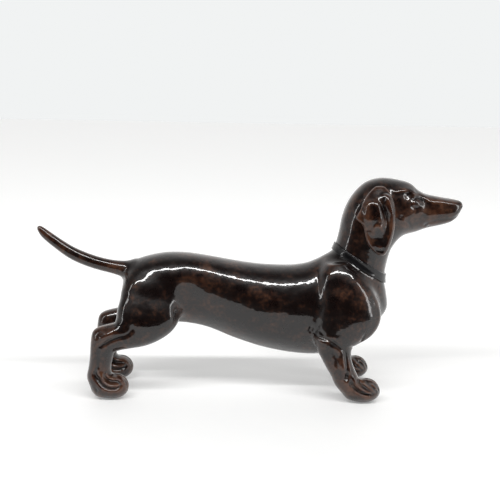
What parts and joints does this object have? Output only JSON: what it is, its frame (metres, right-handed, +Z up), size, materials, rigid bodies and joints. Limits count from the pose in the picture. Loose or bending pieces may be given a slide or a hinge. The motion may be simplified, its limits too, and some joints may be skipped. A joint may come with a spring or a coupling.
{
  "type": "ceramic dog figurine",
  "caption": "Standing dachshund figurine in glossy dark glaze with a black collar, long hanging ears, short legs and a raised tapering tail.",
  "frame": {"origin": "on the floor below the middle of the figure's box", "axes": "+X towards the nose, +Z up, +Y towards the dog's left side"},
  "size_m": [0.31, 0.0762, 0.1608],
  "materials": {
    "brown_glaze": "very glossy near-black brown glaze with fine reddish-brown mottling, lighter on the brow, ears and tail",
    "black_glaze": "glossy plain black glaze"
  },
  "bodies": {
    "root": {"torso": "brown_glaze", "head": "brown_glaze", "tail": "brown_glaze", "ear_left": "brown_glaze", "ear_right": "brown_glaze", "front_left_leg": "brown_glaze", "front_right_leg": "brown_glaze", "rear_left_leg": "brown_glaze", "rear_right_leg": "brown_glaze", "collar": "black_glaze"}
  },
  "joints": []
}
